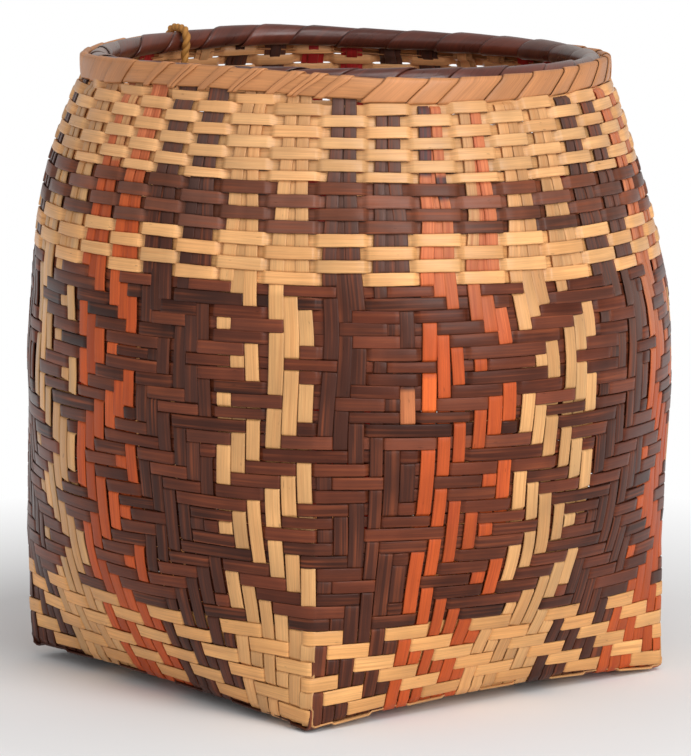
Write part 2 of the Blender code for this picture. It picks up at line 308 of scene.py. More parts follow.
# The rim isn't level. These are its rises in mm, at places from the basket's left to its right.
RIM_PLACES = (-1.0, -0.9, -0.75, -0.5, -0.35, -0.2, 0.1, 0.4, 0.8, 1.0)
NEAR_HOOP_RISE = (0.6, 1.8, 3.1, 3.1, 2.8, 2.2, -0.6, -1.8, -1.2, -0.2)
FAR_HOOP_RISE = (-0.6, 0.2, 0.3, 0.8, 1.4, 0.6, -1.4, -2.0, -2.3, -2.0)
RIM_EASE = np.radians((-6, -3, 0, 3, 6))
RIM_CHANGE = 1.5             # how quickly the near side gives way to the far, at the left and right


def rim_rise(angle, near_side, far_side):
    """How far up a piece of the rim sits at a bearing, eased from place to place."""
    rise = 0
    for ease in RIM_EASE:
        share = np.clip(0.5 + RIM_CHANGE * np.sin(angle + ease - VIEW_ANGLE), 0, 1)
        place = np.cos(angle + ease - VIEW_ANGLE)
        rise = rise + (1 - share) * np.interp(place, RIM_PLACES, near_side)
        rise = rise + share * np.interp(place, RIM_PLACES, far_side)
    return rise / len(RIM_EASE) / 1000


def rim_lift(angle):
    """How far up the hoop and its lashing sit: high at the near left, and down at the right."""
    return rim_rise(angle, NEAR_HOOP_RISE, FAR_HOOP_RISE)


BROAD_DENT = 0.0006
NARROW_DENT = 0.0004


def wall_place(stake, height, depth):
    """Points at a depth in from the plaited face, and the outward direction there."""
    stake, height, depth = np.broadcast_arrays(stake, height, depth)
    round_step, up_step = 0.6, 0.0015
    along = plaited_face(stake + round_step, height) - plaited_face(stake - round_step, height)
    upward = plaited_face(stake, height + up_step) - plaited_face(stake, height - up_step)
    outward = np.cross(along, upward)
    outward /= np.linalg.norm(outward, axis=-1, keepdims=True)
    around = 2 * np.pi * stake / STAKES
    dent = (BROAD_DENT * np.sin(3 * around + 0.4 + 25 * height)
            + NARROW_DENT * np.sin(9 * around + 80 * height)) * unevenness(height)
    return plaited_face(stake, height) - outward * (depth + dent)[..., None], outward


# The shares of the way from one crossing to the next at which a splint has a point. Where it
# changes sides, it does so from the second of the first list to the last.
CHANGING_STEPS = (0, 0.36, 0.43, 0.5, 0.57, 0.64)
FLOATING_STEPS = (0, 0.5)


def swing(shows, reach, bow, fine_at=()):
    """How a splint goes in and out at its crossings.

    Returns places along it, counted in crossings, and how far out of the middle it lies there.
    """
    signs = np.where(shows, 1.0, -1.0)
    count = len(signs)
    bulge = np.zeros(count)
    start = 0
    for here in range(1, count + 1):
        if here == count or signs[here] != signs[start]:
            run = here - start
            bulge[start:here] = np.sin(np.pi * np.arange(1, run + 1) / (run + 1))
            start = here
    reach = signs * (reach + bow * bulge)
    change_start, change_end = CHANGING_STEPS[1], CHANGING_STEPS[-1]
    places, offsets = [], []
    for here in range(count - 1):
        crosses = signs[here] != signs[here + 1]
        for step in CHANGING_STEPS if crosses or here in fine_at else FLOATING_STEPS:
            share = ramp(step, change_start, change_end) if crosses else step
            share = share * share * (3 - 2 * share)
            places.append(here + step)
            offsets.append(reach[here] * (1 - share) + reach[here + 1] * share)
    return np.array(places + [count - 1.0]), np.array(offsets + [reach[-1]])


# A splint's section: a flat rind with eased edges and a flat pith side, in half widths and
# thicknesses
SPLINT_SECTION = np.array([(-1, -0.10), (-0.94, 0.34), (-0.80, 0.47), (0.80, 0.47), (0.94, 0.34),
                           (1, -0.10), (0.88, -0.5), (-0.88, -0.5)])
PITH_UNDER = -0.3            # the points of a section under this are on the pith side


def splint_of(points, width, section, colour, number):
    """A splint from the points of its sections, with what the cane's finish reads at each.

    Its number gives it fibres and streaks of its own.
    """
    shape = points.shape[:2]
    middle = points.mean(axis=1)
    length = np.concatenate([[0], np.cumsum(np.linalg.norm(np.diff(middle, axis=0), axis=1))])
    grain = np.stack([np.broadcast_to(length[:, None], shape), section[:, 0] * width[:, None] / 2,
                      np.full(shape, float(number))], -1)
    face = np.stack([np.broadcast_to(section[:, 0], shape),
                     np.broadcast_to(section[:, 1] < PITH_UNDER, shape).astype(float),
                     np.zeros(shape)], -1)
    tone = np.broadcast_to(np.broadcast_to(colour, (shape[0], 3))[:, None], (*shape, 3))
    return {"points": points, "length": length, "grain": grain, "face": face, "tone": tone}


def lay_splint(centres, outward, width, thickness, colour, number, section=SPLINT_SECTION):
    """One splint along its middle line."""
    count = len(centres)
    width = np.broadcast_to(width, count)
    thickness = np.broadcast_to(thickness, count)[:, None, None]
    ahead = np.gradient(centres, axis=0)
    sideways = np.cross(ahead, outward)
    sideways /= np.linalg.norm(sideways, axis=1, keepdims=True)
    across, lift = section[None, :, :1], section[None, :, 1:]
    points = (centres[:, None] + sideways[:, None] * across * width[:, None, None] / 2
              + outward[:, None] * lift * thickness)
    return splint_of(points, width, section, colour, number)


def make_piece(name, splints, material, folds):
    """One object from its splints, each folded into a few lines of its OFBake UV map."""
    margin = 0.05
    lines = folds * len(splints)
    points, faces, corners, total = [], [], [], 0
    for number, splint in enumerate(splints):
        count, edges = splint["points"].shape[:2]
        step, edge = np.meshgrid(np.arange(count - 1), np.arange(edges), indexing="ij")
        beside = (edge + 1) % edges
        quads = np.stack([step * edges + edge, step * edges + beside,
                          (step + 1) * edges + beside, (step + 1) * edges + edge], -1)
        faces += (quads.reshape(-1, 4) + total).tolist()
        length = splint["length"]
        fold_length = length[-1] / folds
        fold = np.minimum((length[step] + length[step + 1]) / 2 // fold_length, folds - 1)
        left, right = [margin + (1 - 2 * margin) * (length[at] / fold_length - fold)
                       for at in (step, step + 1)]
        low, high = [(number * folds + fold + margin + (1 - 2 * margin) * (edge + more) / edges) / lines
                     for more in (0, 1)]
        corners.append(np.stack([left, low, left, high, right, high, right, low], -1).ravel())
        for cap, at in ((list(range(edges))[::-1], 0), (list(range(edges)), count - 1)):
            faces.append([total + at * edges + corner for corner in cap])
            corners.append(np.array([(margin * 0.5, (number * folds + corner / edges) / lines)
                                     for corner in cap]).ravel())
        points.append(splint["points"].reshape(-1, 3))
        total += count * edges
    mesh = bpy.data.meshes.new(name)
    mesh.from_pydata(np.concatenate(points).tolist(), [], faces)
    mesh.uv_layers.new(name="OFBake").data.foreach_set("uv", np.concatenate(corners))
    for key, kind, field in (("grain", "FLOAT_VECTOR", "vector"), ("face", "FLOAT_VECTOR", "vector"),
                             ("tone", "FLOAT_COLOR", "color")):
        values = np.concatenate([splint[key].reshape(-1, 3) for splint in splints])
        if key == "tone":
            values = np.concatenate([values, np.ones((len(values), 1))], 1)
        mesh.attributes.new(key, kind, "POINT").data.foreach_set(field, values.ravel())
    mesh.shade_smooth()
    mesh.materials.append(material)
    piece = bpy.data.objects.new(name, mesh)
    bpy.context.scene.collection.objects.link(piece)
    return piece


class Finish:
    """A material's nodes, added one by one."""

    def __init__(self, name):
        self.material = bpy.data.materials.new(name)
        self.material.use_nodes = True
        self.tree = self.material.node_tree
        self.shader = self.tree.nodes["Principled BSDF"]

    def put(self, kind, **settings):
        """Adds a node. Settings name its properties, or its sockets by number after a letter s."""
        node = self.tree.nodes.new(kind)
        for key, value in settings.items():
            if key[0] == "s" and key[1:].isdigit():
                self.feed(value, node.inputs[int(key[1:])])
            else:
                setattr(node, key, value)
        return node

    def feed(self, value, socket):
        """Sets a socket to a number or a colour, or links an output to it."""
        if isinstance(value, bpy.types.NodeSocket):
            self.tree.links.new(value, socket)
        else:
            socket.default_value = value

    def attribute(self, name, output="Vector"):
        return self.put("ShaderNodeAttribute", attribute_name=name).outputs[output]

    def math(self, operation, first, second=0.0, third=0.0):
        return self.put("ShaderNodeMath", operation=operation, s0=first, s1=second, s2=third).outputs[0]

    def noise(self, place, detail=2.0):
        node = self.put("ShaderNodeTexNoise", s0=place)
        node.inputs["Scale"].default_value = 1.0
        node.inputs["Detail"].default_value = detail
        return node.outputs["Fac"]

    def between(self, value, low, high, start=0.0, end=1.0):
        """Maps a value from one range to another, held at both ends."""
        node = self.put("ShaderNodeMapRange", s0=value, s1=low, s2=high, s3=start, s4=end)
        return node.outputs[0]

    def blend(self, share, first, second, mode="MIX"):
        node = self.put("ShaderNodeMix", data_type="RGBA", blend_type=mode, clamp_factor=True)
        for value, key in ((share, 0), (first, 6), (second, 7)):
            self.feed(value, node.inputs[key])
        return node.outputs[2]


# How often the cane's marks come in a metre, along a splint and across it, and how far on in them
# the next splint starts
FIBRE_SCALE = (50.0, 2600.0, 7.3)
STREAK_SCALE = (14.0, 750.0, 3.7)
PATCH_SCALE = (38.0, 60.0, 5.1)
SPOT_SCALE = (210.0, 900.0, 9.7)
# The light that fibres and patches leave at their darkest and palest, and spots and edges leave
FIBRE_LIGHT = (0.84, 1.10)
PATCH_LIGHT = (0.84, 1.14)
SPOT_LIGHT = 0.62
# A splint is darkened to this share along its edges: painted shade, with some dirt
EDGE_SHADE_AND_DIRT = 0.80
RELIEF_STRENGTH = 0.35


def cane(name, streak_colour, streak_share, roughness, pith_tint_and_painted_light, gloss=0.5, fibre_depth=0.00012):
    """Split cane: fine fibres and broader streaks along it, a few spots, and a tinted pith side."""
    finish = Finish(name)
    grain = finish.put("ShaderNodeSeparateXYZ", s0=finish.attribute("grain")).outputs
    along, across, number = grain[0], grain[1], grain[2]
    edge_face = finish.put("ShaderNodeSeparateXYZ", s0=finish.attribute("face"))
    finish.shader.inputs["Specular IOR Level"].default_value = gloss

    def stretched(along_scale, across_scale, number_scale):
        return finish.put("ShaderNodeCombineXYZ", s0=finish.math("MULTIPLY", along, along_scale),
                          s1=finish.math("MULTIPLY", across, across_scale),
                          s2=finish.math("MULTIPLY", number, number_scale)).outputs[0]

    fibres = finish.noise(stretched(*FIBRE_SCALE), 3.0)
    streaks = finish.noise(stretched(*STREAK_SCALE), 2.0)
    patches = finish.noise(stretched(*PATCH_SCALE), 2.0)
    spots = finish.noise(stretched(*SPOT_SCALE), 1.0)
    colour = finish.attribute("tone", "Color")
    worn = finish.math("MULTIPLY", finish.between(streaks, 0.46, 0.70, 0.0, streak_share),
                       finish.between(patches, 0.38, 0.66, 0.35, 1.0))
    colour = finish.blend(worn, colour, (*streak_colour, 1))
    lightness = finish.math("MULTIPLY", finish.between(fibres, 0.3, 0.7, *FIBRE_LIGHT),
                            finish.between(patches, 0.3, 0.7, *PATCH_LIGHT))
    lightness = finish.math("MULTIPLY", lightness, finish.between(spots, 0.74, 0.80, 1.0, SPOT_LIGHT))
    edge = finish.math("ABSOLUTE", edge_face.outputs[0])
    # Painted shade and dirt: the edges of every splint are darkened
    lightness = finish.math("MULTIPLY", lightness, finish.between(edge, 0.86, 1.0, 1.0, EDGE_SHADE_AND_DIRT))
    colour = finish.blend(1.0, colour, finish.put("ShaderNodeCombineColor", s0=lightness, s1=lightness,
                                                   s2=lightness).outputs[0], "MULTIPLY")
    # The pith side's own tint; a tint above one also lightens it as painted light
    pith = finish.blend(1.0, colour, (*pith_tint_and_painted_light, 1), "MULTIPLY")
    colour = finish.blend(edge_face.outputs[1], colour, pith)
    finish.feed(colour, finish.shader.inputs["Base Color"])
    finish.feed(finish.between(patches, 0.3, 0.7, roughness - 0.07, roughness + 0.09),
                finish.shader.inputs["Roughness"])
    relief = finish.put("ShaderNodeBump", s0=RELIEF_STRENGTH, s1=fibre_depth)
    finish.feed(fibres, relief.inputs["Height"])
    finish.feed(relief.outputs[0], finish.shader.inputs["Normal"])
    return finish.material


CANE = {
    # The natural pith tint is above one: its own paler pith plus painted light on the shaded inside
    "natural": cane("natural_cane", dyed(182, 120, 68), 0.55, 0.40, (1.35, 1.32, 1.42), gloss=0.42),
    "orange": cane("orange_cane", dyed(150, 58, 32), 0.70, 0.46, (0.95, 0.18, 0.40), gloss=0.22),
    "brown": cane("brown_cane", dyed(140, 72, 42), 0.75, 0.38, (0.85, 0.80, 0.80), gloss=0.19),
}

chance = np.random.default_rng(11)
WARMTH_SPREAD = 0.4          # splints differ in warmth by this share of what they do in lightness
LEAST_LIGHT = 0.5


def own_tone(colour, spread=0.10):
    """One splint's own colour, as no two take the dye alike."""
    light = 1 + spread * chance.normal()
    warm = 1 + WARMTH_SPREAD * spread * chance.normal()
    return np.array(colour) * max(light, LEAST_LIGHT) * np.array([1.0, warm, warm ** 2])


MIDDLE_TUCK = 0.0007         # the middle stake of a gathered three lies this far behind,
TUCK_HEIGHTS = (0.165, 0.225)    # which it comes to between these heights
STAKE_TOP = np.array([0.2572, 0.2545, 0.2515, 0.2494])    # a stake's last points, down the hoop
STAKE_TOP_DEPTH = 0.0036     # and how deep in the wall they are squeezed


def stake_run(stake):
    """One stake from between the hoops down to the edge of the base."""
    shows = DRAFT[:, (stake - 1) % STAKES]
    places, offsets = swing(shows, STAKE_SWINGS, STAKE_BOW)
    heights = np.interp(places, np.arange(ROW_COUNT), ROW_HEIGHTS)
    between_hoops = STAKE_TOP + rim_lift(bearing_of(stake))
    leaving = (ROW_HEIGHTS[0] + between_hoops[-1]) / 2
    depths = np.concatenate([[STAKE_TOP_DEPTH] * len(STAKE_TOP),
                             [(STAKE_TOP_DEPTH + WEAVE_DEPTH - offsets[0]) / 2], WEAVE_DEPTH - offsets])
    heights = np.concatenate([between_hoops, [leaving], heights])
    if stake % 3 == 2:
        depths += MIDDLE_TUCK * ramp(heights, *TUCK_HEIGHTS)
    return wall_place(gathered(float(stake), heights), heights, depths)


def base_run(number, other_way):
    """One splint across the base, from the positive edge to the negative one."""
    crossings = np.arange(STAKES_PER_SIDE, 0, -1)
    base_swing = WEAVE_SWING / 2
    places, offsets = swing((number + crossings + (3 if other_way else 0)) % 6 < 3, base_swing, STAKE_BOW)
    at = (np.interp(places, np.arange(STAKES_PER_SIDE), crossings) - 0.5) / STAKES_PER_SIDE
    along = 2 * at - 1
    beside = 2 * (number - 0.5) / STAKES_PER_SIDE - 1
    lift = BASE_ARCH * (1 - along ** 2 * beside ** 2)
    middle = lift + SPLINT_THICKNESS / 2 + base_swing
    spot = np.stack([along * BASE_SIDE / 2, np.full(len(along), beside * BASE_SIDE / 2),
                     middle - offsets], -1)
    if other_way:
        spot = spot[:, [1, 0, 2]]
    spot[:, 2] += curl(spot)
    return spot, np.tile([0.0, 0.0, -1.0], (len(spot), 1))


def ends_of(number, other_way):
    """The two stakes that a splint of the base goes on as."""
    if other_way:
        return 2 * STAKES_PER_SIDE + 1 - number, 3 * STAKES_PER_SIDE + number
    return number, 3 * STAKES_PER_SIDE + 1 - number


# Where a splint folds from the wall into the base: the shares of the turn at which it has a point,
# how far outside the base's edge the fold lies, and how far it bulges
FOLD_STEPS = (0.3, 0.65)
FOLD_OUT = 0.0012
FOLD_BULGE = 0.00048


def long_splint(number, other_way):
    """A whole splint: down one wall, across the base and up the wall opposite."""
    first, last = ends_of(number, other_way)
    one, one_out = stake_run(first)
    flat, flat_out = base_run(number, other_way)
    two, two_out = stake_run(last)
    runs, outs = [one], [one_out]
    for wall, wall_out, edge in ((one, one_out, flat[0]), (two, two_out, flat[-1])):
        fold, fold_out = [], []
        start, start_out = wall[-1], wall_out[-1]
        for share in FOLD_STEPS:
            angle = share * math.pi / 2
            level = edge + start_out * FOLD_OUT
            fold.append(start * math.cos(angle) ** 2 + level * math.sin(angle) ** 2
                        + (start_out - [0, 0, 1.0]) * FOLD_BULGE * math.sin(2 * angle))
            fold_out.append(start_out * math.cos(angle) - np.array([0, 0, 1.0]) * math.sin(angle))
        if wall is one:
            runs += [np.array(fold), flat]
            outs += [np.array(fold_out), flat_out]
        else:
            runs += [np.array(fold[::-1]), two[::-1]]
            outs += [np.array(fold_out[::-1]), two_out[::-1]]
    return np.concatenate(runs), np.concatenate(outs)


WIDTH_SPREAD = 0.07          # how much the stakes differ in width
PARED_HEIGHTS = (0.175, 0.215)    # between these a stake is pared down to a share of its width
PARED_SHARE = 0.85


def stake_width(centres, widest):
    """A stake's width along it: it fills the room that it has, and is pared down at the shoulder."""
    height = centres[:, 2]
    square = squareness(height)
    room = (1 - square) * 2 * np.pi * wall_radius(height) / STAKES + square * BASE_SIDE / STAKES_PER_SIDE
    return np.minimum(widest, STAKE_FILL * room) * np.interp(height, PARED_HEIGHTS, (1.0, PARED_SHARE))


# Stretches of a stake that aren't its group's colour: the stake, from and to what height, the colour
ODD_STRETCHES = (
    (7, 0.1265, 0.1425, dyed(232, 108, 46)),
    (6, 0.1215, 0.1370, dyed(186, 112, 70)),
    (10, 0.1900, 0.2600, dyed(196, 146, 100)),
    (105, 0.2218, 0.2600, dyed(208, 156, 104)),
    (118, 0.1000, 0.1750, dyed(202, 150, 94)),
    (7, 0.2190, 0.2600, dyed(82, 60, 58)),
    (9, 0.2110, 0.2190, dyed(84, 60, 56)),
)

for direction, groups, sides in (("x", X_GROUPS, ("stakes_plus_x", "stakes_minus_x")),
                                 ("y", Y_GROUPS[::-1], ("stakes_plus_y", "stakes_minus_y"))):
    for group, dye in enumerate(groups):
        splints = []
        for member in range(GROUP_SIZE):
            number = GROUP_SIZE * group + member + 1
            centres, outward = long_splint(number, direction == "y")
            width = stake_width(centres, STAKE_WIDTH * (1 + WIDTH_SPREAD * chance.normal()))
            deep, faded = STAKE_DYES[dye]
            over = centres[:, 2] - FADED_ABOVE + FADED_SLANT * to_the_right(centres)
            fade = np.clip(over / FADE_LENGTH + 0.5, 0, 1)[:, None]
            light = own_tone((1, 1, 1))
            tone = (deep * (1 - fade) + faded * fade) * light
            ends = ends_of(number, direction == "y")
            first_half = np.arange(len(centres)) < len(centres) / 2
            for stake, low, high, colour in ODD_STRETCHES:
                if stake in ends:
                    side = first_half if stake == ends[0] else ~first_half
                    tone[side & (centres[:, 2] > low) & (centres[:, 2] < high)] = colour
            splints.append(lay_splint(centres, outward, width, SPLINT_THICKNESS, tone, number))
        piece = make_piece(f"splints_{direction}_{group + 1}_{dye}", splints, CANE[dye], folds=3)
        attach(piece, "root")
        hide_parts("base_mat", *sides)

# The weavers
# Forty-eight splints go round the wall, one to a row, in and out of the stakes. Each is about 5 mm
# wide, or 6 mm at the foot, and its thinned ends lap at the back. They are natural on the shoulder,
# brown and then natural in the two bands under it, brown on the body and natural at the foot.

# How much a zone's weavers bow out over the stakes, the share of their row's height that they
# fill, and their colour
WEAVER_FORMS = {"shoulder_natural": (0.00035, 1.13, dyed(216, 161, 106)),
                "band_brown": (0.00030, 1.05, dyed(106, 60, 42)),
                "band_natural": (0.00035, 1.06, dyed(225, 167, 107)),
                "body_brown": (0.00020, 1.00, dyed(86, 41, 25)),
                "foot_natural": (0.00030, 0.99, dyed(225, 166, 102))}
ROW_DYES = [dye for _, rows, _, dye in ROW_ZONES for _ in range(rows)]
OWN_CHANGE = {"natural": 0.07, "brown": 0.22}    # how much the dye changes from weaver to weaver
SLOW_CHANGE = {"natural": 0.35, "brown": 1.7}    # and along one,
SLOW_STEPS = 41              # over about this many of its points
WANDER = 0.10                # how much a weaver's width wanders, over how many points, and how far
WANDER_STEPS = 9
WANDER_LIMITS = (0.85, 1.05)
LAP_STAKES = 5
LAP_THINNING = 0.6
LAP_STEP = 0.25              # a weaver's ends lie this share of its thickness in and out of the rest
NARROW_ROWS = {-8: 0.80, 1: 0.84, 7: 0.86, 11: 0.84, 19: 0.86}    # by the pattern's count
FIRST_WEAVER = 100           # the stakes are numbered from one, and the weavers from here


def lay_weaver(row, start, count, shows, height, depth, lap, form):
    """One weaver, or a part of one, in and out of the stakes from a starting stake."""
    bow, fill, colour = form
    stakes = start + np.arange(count)
    corners = [place for place, stake in enumerate(stakes) if stake % STAKES_PER_SIDE == 0]
    reach = WEAVE_SWING - STAKE_SWINGS[row]
    places, offsets = swing(shows, reach, bow, corners)
    at_start = places < lap
    at_end = places > count - 1 - lap
    layer = LAP_STEP * SPLINT_THICKNESS * (at_end.astype(float) - at_start)
    thickness = SPLINT_THICKNESS * np.where(at_start | at_end, LAP_THINNING, 1.0)
    heights = np.full(len(places), height)
    centres, outward = wall_place(gathered(start + places, heights), heights, depth - offsets - layer)
    wander = np.convolve(chance.normal(size=len(places)), np.ones(WANDER_STEPS) / WANDER_STEPS, "same")
    width = ROW_PITCHES[row] * fill * np.clip(1 + WANDER * wander, *WANDER_LIMITS)
    dye = ROW_DYES[row]
    slow = np.convolve(chance.normal(size=len(places) + SLOW_STEPS - 1),
                       np.ones(SLOW_STEPS) / SLOW_STEPS, "valid")
    tone = own_tone(colour, OWN_CHANGE[dye]) * (1 + SLOW_CHANGE[dye] * slow[:, None])
    return lay_splint(centres, outward, width, thickness, tone, FIRST_WEAVER + row)


# The top weaver's end runs on above itself where the rim sits high: behind the hoop at the back
# left, and under it at the near left. For each stretch: its first stake, how many stakes it passes,
# how many rows up it lies, its share of the width, and how much further in it lies.
RUN_ON = ((-58, 27, 0.5, 1.0, 0.0019), (-21, 20, 0.3, 0.85, 0.0011))
RUN_ON_LAP = 2
BACK_STAKES = (58, 88)       # a weaver starts at one of these, where its lap doesn't show
row = 0
for zone, rows, _, dye in ROW_ZONES:
    for number in range(1, rows + 1):
        start = int(chance.integers(*BACK_STAKES))
        stakes = start + np.arange(STAKES + LAP_STAKES + 1)
        bow, fill, colour = WEAVER_FORMS[zone]
        form = (bow, fill * NARROW_ROWS.get(FIRST_ROW + row, 1.0), colour)
        splints = [lay_weaver(row, start, len(stakes), ~DRAFT[row, (stakes - 1) % STAKES],
                              ROW_HEIGHTS[row], WEAVE_DEPTH, LAP_STAKES, form)]
        if row == 0:
            for first, count, rows_up, wide, further_in in RUN_ON:
                shows = ~stake_shows(first + np.arange(count), FIRST_ROW - 1)
                splints.append(lay_weaver(
                    row, first, count, shows, WEAVER_TOP + rows_up * ROW_PITCHES[0],
                    WEAVE_DEPTH + further_in, RUN_ON_LAP, (bow, fill * wide, colour)))
        piece = make_piece(f"row_{row + 1:02d}_{dye}", splints, CANE[dye], folds=9)
        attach(piece, "root")
        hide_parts(f"weaver_{zone}_{number:02d}")
        row += 1

# The outer hoop
# A flat splint of natural cane, 9 mm deep and nearly 2 mm thick, is bent round the outside of the
# stakes' ends. Its own ends lap at the left, and its grain runs level all the way round.
HOOP_LOW, HOOP_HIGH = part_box("rim_hoop_outer")
HOOP_MIDDLE = (HOOP_LOW.z + HOOP_HIGH.z) / 2
HOOP_HEIGHT = HOOP_HIGH.z - HOOP_LOW.z
HOOP_RADIUS = 0.1081
HOOP_THICKNESS = 0.0017
HOOP_FILL = 0.98             # how much of the frame's hoop it fills in height
HOOP_WAVES = (0.0002, 0.00015)    # how far broad and narrow waves in it go up and down
HOOP_LAP = math.radians(28)
HOOP_START = math.radians(-118)
HOOP_LAP_STEP = 0.0003       # its ends lie this far in and out of the rest
HOOP_LAP_THINNING = 0.5      # and lose this share of their thickness
HOOP_POINTS = 260
HOOP_NUMBER = 201
HOOP_SECTION = np.array([(-1, -0.3), (-1, 0.2), (-0.85, 0.5), (0.85, 0.5), (1, 0.2), (1, -0.3),
                         (0.85, -0.5), (-0.85, -0.5)])


def round_line(angles, radius, height, lift):
    """Points at some angles round the rim, and the outward direction at each."""
    out = np.stack([np.cos(angles), np.sin(angles), np.zeros(len(angles))], -1)
    points = out * np.broadcast_to(radius, len(angles))[:, None]
    points[:, 2] = height + lift(angles)
    return points, out


turns = np.linspace(0, 2 * np.pi + HOOP_LAP, HOOP_POINTS)
lap = np.clip((turns - 2 * np.pi) / HOOP_LAP * 3, 0, 1) - np.clip(1 - turns / HOOP_LAP, 0, 1)
wavy = HOOP_WAVES[0] * np.sin(9 * turns) + HOOP_WAVES[1] * np.sin(23 * turns + 1)
centres, outward = round_line(HOOP_START + turns, HOOP_RADIUS + HOOP_LAP_STEP * lap,
                              HOOP_MIDDLE + wavy, rim_lift)
hoop_thickness = HOOP_THICKNESS * (1 - HOOP_LAP_THINNING * np.abs(lap))
hoop_finish = cane("hoop_cane", dyed(150, 90, 52), 0.28, 0.45, (0.9, 0.8, 0.75))
splint = lay_splint(centres, outward, HOOP_HEIGHT * HOOP_FILL, hoop_thickness, dyed(195, 131, 79),
                    HOOP_NUMBER, HOOP_SECTION)
hoop = make_piece("outer_hoop", [splint], hoop_finish, folds=6)
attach(hoop, "root")
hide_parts("rim_hoop_outer")

# The inner roll
# A thick roll of dark brown cane, 8 mm across, lies inside the stakes' ends. It is covered by a
# broad splint of the same brown that winds round it, over and over, each turn against the last.
ROLL_LOW, ROLL_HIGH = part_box("rim_hoop_inner")
ROLL_RADIUS = (ROLL_HIGH.z - ROLL_LOW.z) / 2
ROLL_CENTRE = 0.1020
ROLL_ABOVE_HOOP = 0.0003     # before the rises of either
ROLL_MIDDLE = HOOP_MIDDLE + ROLL_ABOVE_HOOP
ROLL_WRAPS = 29
ROLL_POINTS = 181
ROLL_NUMBER = 220
CORE_SHARE = 0.92            # how much of the roll's thickness is inside its cover
COVER_NUMBER = 221
COVER_THICKNESS = 0.0006
COVER_SEAT = 0.94            # its inner side lies at this share of the roll's radius,
COVER_UNEVENNESS = 0.00015   # and in two waves this far in and out of that
COVER_OVERLAP = 1.12         # its width, as a share of the room that each wrap has,
COVER_WANDER = 0.05          # which comes and goes by this share
COVER_SLANT = 0.12           # how far it falls behind and gets ahead on its way round, in wraps
COVER_TUCK = 0.00035         # its leading edge stands out this far over the next wrap
COVER_DARK = dyed(80, 42, 33)
COVER_WARM = dyed(118, 56, 38)
SHADE_SPREAD = 0.22          # how much its wraps differ in lightness, and how far they may
SHADE_LIMITS = (0.6, 1.5)
# The grey of a painted sheen, with some wear, on the top of the roll
GREY_SHEEN_AND_WEAR = dyed(158, 142, 132)
SHEEN_AND_WEAR_SHARE = 0.8             # how much of that grey, painted sheen with some wear, shows where it is strongest
ROUND_SECTION = np.array([(math.sin(a), math.cos(a) / 2) for a in np.linspace(0, 2 * np.pi, 13)[:-1]])
NEAR_ROLL_RISE = (0.8, 1.6, 2.4, 2.6, 2.6, 2.6, 2.6, 2.3, 0.8, -0.4)
FAR_ROLL_RISE = (0.6, 1.5, 1.7, 2.3, 2.9, 2.1, 0.3, -0.4, -0.9, -1.0)


def roll_lift(angle):
    """How far up the roll sits: over the hoop at the near side and all along the back."""
    return rim_rise(angle, NEAR_ROLL_RISE, FAR_ROLL_RISE)


turns = np.linspace(0, 2 * np.pi, ROLL_POINTS)
centres, outward = round_line(turns, ROLL_CENTRE, ROLL_MIDDLE, roll_lift)
core_diameter = CORE_SHARE * 2 * ROLL_RADIUS
core = lay_splint(centres, outward, core_diameter, core_diameter, dyed(66, 40, 32), ROLL_NUMBER,
                  ROUND_SECTION)
roll_finish = cane("roll_cane", dyed(124, 58, 38), 0.55, 0.30, (0.8, 0.8, 0.8))
roll = make_piece("inner_roll", [core], roll_finish, folds=6)
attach(roll, "root")
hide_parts("rim_hoop_inner")

# A bound splint's section, with points enough across it to follow the rim round
BAND_SECTION = np.array([(-1, -0.1), (-0.88, 0.45), (-0.35, 0.5), (0.35, 0.5), (0.88, 0.45), (1, -0.1),
                         (0.88, -0.5), (0.35, -0.5), (-0.35, -0.5), (-0.88, -0.5)])


def lay_band(bearing, radius, height, away, half_turn, thickness, colour, number, lift, tuck=0.0):
    """A splint bound round the rim, which covers the bearings up to half_turn either side.

    Radius and height are its middle's, and away points out of the rim there. Its leading edge
    stands out by tuck, where it lies over the edge of the next wrap.
    """
    across, outer = BAND_SECTION[:, 0], BAND_SECTION[:, 1]
    bearing = bearing[:, None] + across * half_turn[:, None]
    out = outer * thickness + tuck * across
    reach = radius[:, None] + away[:, :1] * out
    level = height[:, None] + away[:, 1:] * out + lift(bearing)
    points = np.stack([reach * np.cos(bearing), reach * np.sin(bearing), level], -1)
    return splint_of(points, 2 * half_turn * radius, BAND_SECTION, colour, number)


# The cover goes up against the wall, over the top, and slants down inside the mouth
steps_per_wrap = 24
steps = np.arange(ROLL_WRAPS * steps_per_wrap + 1) / steps_per_wrap
wrap, share = np.divmod(steps, 1.0)
section_angle = -np.pi / 2 + 2 * np.pi * share
advance = share - COVER_SLANT * np.sin(2 * np.pi * share)
bearings = 2 * np.pi * (wrap + advance) / ROLL_WRAPS
reach = ROLL_RADIUS * COVER_SEAT + COVER_THICKNESS / 2
reach = reach + COVER_UNEVENNESS * (np.sin(5 * bearings) + np.sin(13 * bearings + 2))
away = np.stack([np.cos(section_angle), np.sin(section_angle)], -1)
half_turn = COVER_OVERLAP * np.pi / ROLL_WRAPS * (1 + COVER_WANDER * np.sin(3.7 * bearings))
every_wrap = np.arange(ROLL_WRAPS + 1)
shade = np.interp(steps, every_wrap, 1 + SHADE_SPREAD * chance.normal(size=len(every_wrap)))
warmth = np.interp(steps, every_wrap, chance.random(len(every_wrap)))[:, None] ** 3
tone = COVER_DARK * (1 - warmth) + COVER_WARM * warmth
